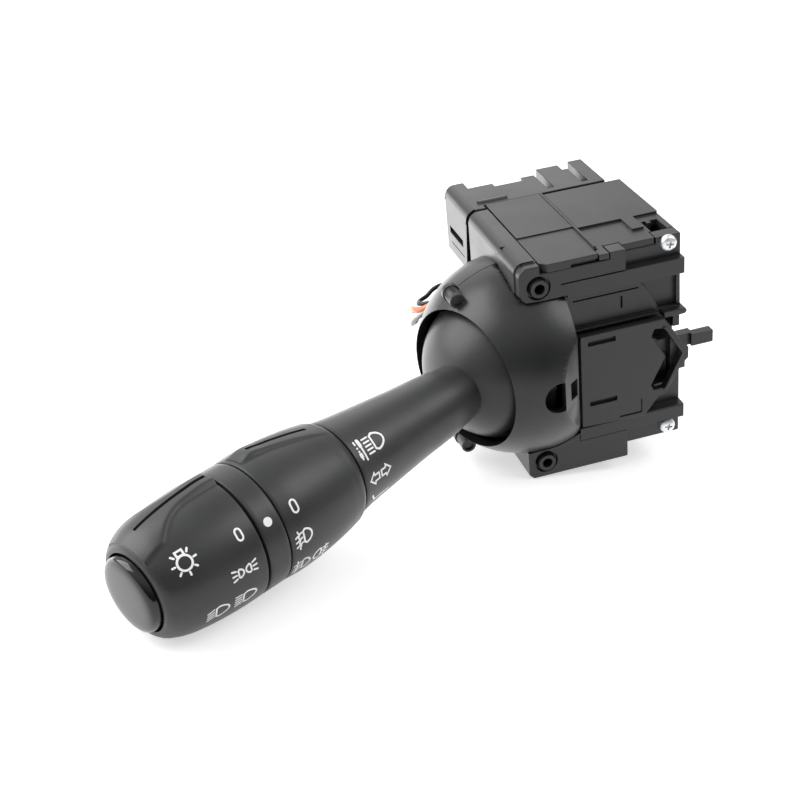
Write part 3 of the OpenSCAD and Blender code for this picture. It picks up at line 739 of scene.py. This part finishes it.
# %% Drawing helpers
def arc(cx, cy, rx, ry, start, end, n):
    turns = [math.radians(a) for a in np.linspace(start, end, n)]
    return [(cx + rx * math.cos(a), cy + ry * math.sin(a)) for a in turns]


def lamp_shape(x, y, width, height, side=1):
    rise = height / 2
    flat = [(x - side * width / 2, y + s * (rise - 0.12 * height)) for s in (-1, 1)]
    bend = [math.radians(a) for a in np.linspace(14, 166, 22)]
    curve = [(x - side * (width / 2 - width * math.sin(a)), y + rise * math.cos(a)) for a in bend]
    return [flat[0], flat[1]] + curve


def resampled(points, closed, step=0.3):
    out = []
    last = len(points) if closed else len(points) - 1
    for i in range(last):
        a, b = Vector(points[i]), Vector(points[(i + 1) % len(points)])
        n = max(1, math.ceil((b - a).length / step))
        out += [a.lerp(b, k / n) for k in range(n)]
    return out if closed else out + [Vector(points[-1])]


def ribbon(points, width, closed):
    points = resampled(points, closed)
    n = len(points)
    rows = []
    for i, p in enumerate(points):
        before = points[i - 1] if closed or i else p - (points[1] - p)
        after = points[(i + 1) % n] if closed or i < n - 1 else p + (p - points[i - 1])
        a, b = (p - before).normalized(), (after - p).normalized()
        across = (Vector((-a.y, a.x)) + Vector((-b.y, b.x))).normalized()
        reach = width / 2 / max(0.5, across.dot(Vector((-a.y, a.x))))
        rows.append((p + across * reach, p - across * reach))
    if not closed:
        for end, away in ((0, points[0] - points[1]), (-1, points[-1] - points[-2])):
            p, side = points[end], (rows[end][0] - points[end]) * 0.5
            cap = (p + away.normalized() * width * 0.35 + side, p + away.normalized() * width * 0.35 - side)
            rows = [cap] + rows if end == 0 else rows + [cap]
    return rows


# %% Wrapping
above_plastic, ink = 0.025, 0.04


def print_symbols(name, body, rows, marks):
    shell = bmesh.new()
    for u, angle, strokes, discs in marks:
        def put(p):
            at = u - p.x
            r = radius_at(rows, at)
            turn_by = math.degrees(p.y / r)
            return shell.verts.new(on_stalk(at * mm, angle + turn_by, (r + above_plastic) * mm))
        for points, width, closed in strokes:
            pairs = [(put(a), put(b)) for a, b in ribbon(points, width, closed)]
            count = len(pairs)
            for i in range(count if closed else count - 1):
                a, b = pairs[i], pairs[(i + 1) % count]
                shell.faces.new((a[0], b[0], b[1], a[1]))
        for x, y, radius in discs:
            middle = put(Vector((x, y)))
            inner, outer = ([put(Vector(p)) for p in arc(x, y, r, r, 0, 345, 24)]
                            for r in (radius / 2, radius))
            for i in range(24):
                j = (i + 1) % 24
                shell.faces.new((middle, inner[i], inner[j]))
                shell.faces.new((inner[i], outer[i], outer[j], inner[j]))
    mesh = bpy.data.meshes.new(name)
    shell.normal_update()
    axis_point, axis = stalk_frame @ Vector((0, 0, 0)), (stalk_frame.to_3x3() @ Vector((1, 0, 0)))
    for f in shell.faces:
        out = f.calc_center_median() - axis_point
        if (out - out.dot(axis) * axis).dot(f.normal) < 0:
            f.normal_flip()
    shell.to_mesh(mesh)
    shell.free()
    thing = place(name, mesh, "white_print", body, slot="stalk_plastic")
    thick = thing.modifiers.new("ink", "SOLIDIFY")
    thick.thickness, thick.offset = ink * mm, -1
    print("%s: %d faces" % (name, len(mesh.polygons)))


def zero(width=1.4, height=2.45):
    side, rise = width / 2, height / 2 - width / 2
    upper = arc(0, rise, side, side * 1.15, 0, 180, 14)
    lower = arc(0, -rise, side, side * 1.15, 180, 360, 14)
    return [(upper + lower, 0.44, True)]


def line(*points, width=0.46):
    return (list(points), width, False)


# %% Symbols on the knob
bulb = [(arc(0, 0, 1.6, 1.6, 0, 360, 41)[:-1], 0.48, True),
        ([(-0.78, 1.45), (-0.78, 2.78), (0.78, 2.78), (0.78, 1.45)], 0.46, False),
        line((-0.7, 1.75), (0.7, 1.75), width=0.3)]
for a in (5, 175, 222, 270, 318):
    c, s = math.cos(math.radians(a)), math.sin(math.radians(a))
    bulb.append(line((2.1 * c, 2.1 * s), (2.8 * c, 2.8 * s)))
for side in (-1, 1):
    bulb.append(line((side * 1.45, 1.8), (side * 1.95, 2.45)))


def rays(x0, x1, heights, lean, width):
    return [line((x0, h), (x1, h + lean), width=width) for h in heights]


side_lights = [(lamp_shape(s * 0.95, 0, 1.3, 2.0, -s), 0.42, True) for s in (-1, 1)]
for s in (-1, 1):
    side_lights += [line((s * 2.1, h), (s * 3.15, h * 1.35), width=0.42) for h in (-0.9, 0, 0.9)]
dipped = [(lamp_shape(0, 0, 3.2, 3.4), 0.44, True)]
dipped += rays(-2.1, -3.7, (1.4, 0.55, -0.3, -1.15), -0.75, 0.34)
main_beam = [(lamp_shape(0, 0, 3.4, 3.4), 0.44, True)]
main_beam += rays(-2.2, -3.9, (1.5, 0.75, 0, -0.75, -1.5), 0, 0.34)
print_symbols("knob_symbols", "light_control", knob_rows, [
    (109.2, 39.8, bulb, []), (96.2, 36.2, zero(), []), (98.1, 6.9, side_lights, []),
    (104.4, -21, dipped, []), (97.4, -21, main_beam, [])])

# %% Symbols on the fog ring, the marker ring and the stem
def fog_lamp(side=1, lean=-0.8):
    strokes = [(lamp_shape(0, 0, 2.2, 3.5, side), 0.46, True)]
    strokes += [line((-side * 1.55, h), (-side * 3.3, h + lean), width=0.4) for h in (1.3, 0.1, -1.1)]
    wave = [(-side * (2.35 + 0.16 * math.sin(h * 4.6)), h) for h in np.linspace(1.9, -2.7, 24)]
    return strokes + [(wave, 0.36, False)]


print_symbols("fog_symbols", "fog_control", fog_rows, [
    (81.7, 32.2, zero(1.45, 2.7), []), (80.9, 4.3, fog_lamp(), []),
    (81.5, -26.5, fog_lamp(), []), (78.2, -26.5, fog_lamp(-1, 0), [])])
print_symbols("marker_dot", "lever", [(85.8, 14.8), (91.6, 14.8)], [(88.9, 32.5, [], [(0, 0, 1.05)])])
flasher = [(lamp_shape(0, 0, 3.3, 4.2), 0.5, True)]
flasher += rays(-2.35, -4.15, (1.75, 0.82, -0.1, -1.02, -1.95), 0, 0.42)
flasher += [line((-5.35, -2.85), (-5.35, 1.2), width=0.5),
            line((-5.35, 2.2), (-5.3, 1.3), (-5.35, 0.6), width=0.95),
            line((-6.5, 2.2), (-6.5, 1.45), width=0.48),
            line((-6.5, -0.95), (-6.5, -1.75), width=0.95),
            line((-6.5, -1.9), (-6.5, -2.3), width=0.5)]
arrow = [(-3.55, 0), (-2.05, 1.4), (-1.9, 0.74), (-0.42, 0.74), (-0.42, -0.74), (-1.9, -0.74), (-2.05, -1.4)]
turning = [(arrow, 0.42, True), ([(-x, -y) for x, y in arrow], 0.42, True)]
lower = [line((-3.1, 2.2), (-2.3, 0.5), width=0.5), line((-2.3, 0.2), (3, -0.2), width=0.45),
         line((-3.1, -2.2), (-2.3, -0.5), width=0.5)]
print_symbols("stem_symbols", "lever", stem_rows, [
    (52.1, 43.3, flasher, [(-6.5, 0.55, 0.26), (-6.5, -0.3, 0.26)]), (55.25, 5.3, turning, []),
    (55.3, -26.5, lower, [])])

# %% [markdown]
# ## Repeated small parts
# Two screws and fifteen plug blades are each one shape put on a set of points. A second tree does that:
# it takes the points, sets a copy of the template on each, and makes the copies real.

# %% Tree that sets copies on points
def copying_tree():
    tree, given, result = new_tree("set_copies", "Places", {"Template": "Object", "Finish": "Material"},
                                   "Copies")
    info = tree.nodes.new("GeometryNodeObjectInfo")
    tree.links.new(given.outputs["Template"], info.inputs["Object"])
    copies = tree.nodes.new("GeometryNodeInstanceOnPoints")
    tree.links.new(given.outputs["Places"], copies.inputs["Points"])
    tree.links.new(info.outputs["Geometry"], copies.inputs["Instance"])
    end_tree(tree, copies.outputs[0], given, result)
    return tree


set_copies = copying_tree()


def copies_of(name, shape, places, finish, body, *nodes):
    template = bpy.data.objects.new(name + "_template", shape)
    bpy.context.scene.collection.objects.link(template)
    points = bpy.data.meshes.new(name)
    points.from_pydata([tuple(c * mm for c in p) for p in places], [], [])
    mesh = run_tree(set_copies, points, {"Template": template, "Finish": finishes[finish]})
    bpy.data.objects.remove(template)
    show_smooth(mesh)
    print("%s: %d copies" % (name, len(places)))
    return place(name, mesh, finish, body, *nodes)


# %% [markdown]
# ## Screws and blades
# The screws are small pan heads with a cross recess. The head is turned with the first tree and the cross
# is cut with a Boolean. A blade is a flat strip with a tapered tip.

# %% Screw and blade shapes
def box_mesh(low, high):
    shell = bmesh.new()
    bmesh.ops.create_cube(shell, size=1)
    for v in shell.verts:
        v.co = Vector([(low[i] if v.co[i] < 0 else high[i]) * mm for i in range(3)])
    return shell


def screw_shape():
    rows = [(0, 0), (0.02, 0.7), (0.12, 1.35), (0.35, 1.8), (0.7, 2.04), (1.1, 2.1), (1.68, 2.1), (1.7, 2.0),
            (1.7, 1.25), (5.1, 1.25), (5.1, 0)]
    mesh = turned_mesh("screw_line", rows, "zinc", 48)
    mesh.transform(Matrix.Rotation(math.radians(90), 4, "Z"))
    head = bpy.data.objects.new("head", mesh)
    cross = bpy.data.meshes.new("cross")
    shell = bmesh.new()
    for turned in (0, 90):
        blade = box_mesh((-1.25, -0.5, -0.24), (1.25, 1.0, 0.24))
        for v in blade.verts:
            if v.co.y > 0:
                v.co.x *= 0.55
        blade.transform(Matrix.Rotation(math.radians(turned + 10), 4, "Y"))
        part = bpy.data.meshes.new("blade")
        blade.to_mesh(part)
        blade.free()
        shell.from_mesh(part)
    shell.to_mesh(cross)
    shell.free()
    cutter = bpy.data.objects.new("cutter", cross)
    for thing in (head, cutter):
        bpy.context.scene.collection.objects.link(thing)
    cut = head.modifiers.new("recess", "BOOLEAN")
    cut.object, cut.operation, cut.solver, cut.use_self = cutter, "DIFFERENCE", "EXACT", True
    out = final_mesh(head)
    for thing in (head, cutter):
        bpy.data.objects.remove(thing)
    return out


def blade_shape():
    root, end, taper = 35.9, 52, 0.8
    shell = box_mesh((-0.8, root, -0.4), (0.8, end, 0.4))
    tip = [f for f in shell.faces if f.normal.y > 0.9]
    bmesh.ops.inset_region(shell, faces=tip, thickness=0.22 * mm, depth=0)
    for v in tip[0].verts:
        v.co.y = end * mm
    for v in shell.verts:
        if v.co.y > (end - 0.1) * mm and v not in tip[0].verts:
            v.co.y = (end - taper) * mm
    mesh = bpy.data.meshes.new("blade")
    shell.to_mesh(mesh)
    shell.free()
    return mesh


screw_places = [(34.7, 1.5, 28.6), (34.7, 1.5, -24.2)]
copies_of("zinc_screws", screw_shape(), screw_places, "zinc", "housing", "case_screws")
blade_places = [(x, 0, z) for x in (8, 12.5, 17, 21.5, 26) for z in (-8, -1, 6)]
copies_of("plug_blades", blade_shape(), blade_places, "contact_metal", "housing", "terminals")

# %% [markdown]
# ## Return spring
# A coil spring is a wire that follows a helix, so Geometry Nodes makes it from a spiral and a round wire
# section.

# %% Coil spring
def spring_tree():
    sizes = dict.fromkeys(("Turns", "Radius", "Length", "Wire"), "Float")
    tree, given, result = new_tree("coil", "Start", {**sizes, "Finish": "Material"}, "Spring")
    helix = tree.nodes.new("GeometryNodeCurveSpiral")
    helix.inputs["Resolution"].default_value = 20
    for socket, name in (("Rotations", "Turns"), ("Start Radius", "Radius"), ("End Radius", "Radius"),
                         ("Height", "Length")):
        tree.links.new(given.outputs[name], helix.inputs[socket])
    wire = tree.nodes.new("GeometryNodeCurvePrimitiveCircle")
    wire.inputs["Resolution"].default_value = 10
    tree.links.new(given.outputs["Wire"], wire.inputs["Radius"])
    swept = tree.nodes.new("GeometryNodeCurveToMesh")
    swept.inputs["Fill Caps"].default_value = True
    tree.links.new(helix.outputs[0], swept.inputs["Curve"])
    tree.links.new(wire.outputs[0], swept.inputs["Profile Curve"])
    end_tree(tree, swept.outputs[0], given, result)
    return tree


seed = bpy.data.meshes.new("seed")
seed.from_pydata([(0, 0, 0)], [], [])
coil = run_tree(spring_tree(), seed, {"Turns": 7.0, "Radius": 1.36 * mm, "Length": 6.6 * mm,
                                      "Wire": 0.22 * mm, "Finish": finishes["steel"]})
outward(coil)
spring_seat = Vector((-10.6, 14.65, 0)) * mm
coil.transform(Matrix.Translation(spring_seat) @ Matrix.Rotation(math.radians(-90), 4, "X"))
show_smooth(coil, 60)
place("return_spring", coil, "steel", "lever", "flash_spring")

# %% [markdown]
# ## Leads
# Three thin leads come out of the dome beside the stalk's pivot, loop out at the left and go back into
# the rear housing. Each is a curve with a round section. The routes repeat the points of the packed
# solids.

# %% Leads
routes = {
    "black": (0.6, [(-10.6, 32.8, 8.3), (-10.5, 35.1, 8.3), (-11.4, 37.1, 7.5), (-13, 38.3, 6.4),
                    (-14.8, 39.7, 6.2), (-16.9, 40.7, 6.2), (-18.4, 42.1, 5.6), (-18.8, 43.9, 5),
                    (-17.7, 45.9, 4.7), (-15.5, 47, 5), (-13.5, 47.5, 6.3), (-11.2, 47.6, 7),
                    (-8.9, 46.8, 7.2), (-6.8, 45.7, 7.6), (-4.7, 45, 8), (-2.4, 45, 8)]),
    "orange": (0.8, [(-12.3, 32.8, 8.3), (-12.5, 35.2, 8.2), (-13.9, 37.3, 7.7), (-16.9, 38.6, 6.5),
                     (-19, 39.9, 5.2), (-20.2, 42.3, 4.2), (-20.2, 45, 3.3), (-20.2, 47.5, 1.9),
                     (-18.9, 49.2, 0.3), (-16.6, 50.2, -0.5), (-13.9, 50.1, 0), (-11.9, 49.4, 1.6),
                     (-9.8, 48.3, 2.8), (-7.4, 47, 3), (-5, 46, 3), (-2.4, 46, 3)]),
    "grey": (0.6, [(-14, 32.8, 8.3), (-14.3, 34.6, 8.2), (-15.5, 36.1, 7.6), (-17.9, 36.7, 6.2),
                   (-20.5, 36.5, 5.2), (-22.1, 37.6, 3.6), (-22.1, 39.4, 1.6), (-20.6, 41.7, 0.9),
                   (-18.8, 43.9, 1.2), (-16.9, 45.6, 0), (-15.3, 47.4, -1.6), (-13.1, 48.2, -3.3),
                   (-10.6, 47.6, -4.4), (-7.9, 46.7, -4.1), (-5.3, 46, -3), (-2.4, 46, -3)]),
}


def smooth_route(points, steps):
    p = [Vector(q) for q in points]
    out = []
    for i in range(len(p) - 1):
        a, b, c, d = p[max(i - 1, 0)], p[i], p[i + 1], p[min(i + 2, len(p) - 1)]
        out += [b + 0.5 * t * (c - a + t * (2 * a - 5 * b + 4 * c - d + t * (3 * (b - c) + d - a)))
                for t in (k / steps for k in range(steps))]
    return [q * mm for q in out + [p[-1]]]


def lay_lead(name, radius, points):
    route = smooth_route(points, 5)
    curve = bpy.data.curves.new("lead_" + name + "_cord", "CURVE")
    curve.dimensions = "3D"
    spline = curve.splines.new("POLY")
    spline.points.add(len(route) - 1)
    for point, q in zip(spline.points, route):
        point.co = (*q, 1)
    spline.use_smooth = True
    curve.bevel_depth, curve.bevel_resolution, curve.use_fill_caps = radius * mm, 4, True
    curve.materials.append(finishes["lead_" + name])
    lead = bpy.data.objects.new(curve.name, curve)
    bpy.context.scene.collection.objects.link(lead)
    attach(lead, "housing")
    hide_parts("lead_" + name)


for name, (radius, points) in routes.items():
    lay_lead(name, radius, points)

# %% [markdown]
# ## Inner parts
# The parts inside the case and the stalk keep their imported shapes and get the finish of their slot.

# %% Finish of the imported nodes
packed_finishes = {
    "die_cast": ("carrier", "lever_block", "pivot_bracket"),
    "steel": ("carrier_pin", "lever_pin", "cancel_pin", "cancel_spring", "core_rod", "snap_dome"),
    "nylon": ("detent_block", "detent_plunger", "knob_rotor", "knob_tube", "button_plunger"),
    "contact_metal": ("contact_tracks", "contact_wiper", "fog_wiper"),
    "board": ("contact_board",),
    "case_plastic": ("lead_clip",),
}
for slot_name, names in packed_finishes.items():
    for name in names:
        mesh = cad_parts[name].data
        mesh.materials.clear()
        mesh.materials.append(finishes[slot_name])

# %% [markdown]
# ## Finish
# The box of the imported model is printed.

# %% Finish
print("packed box", [[round(x / mm, 2) for x in c] for c in solid_box])
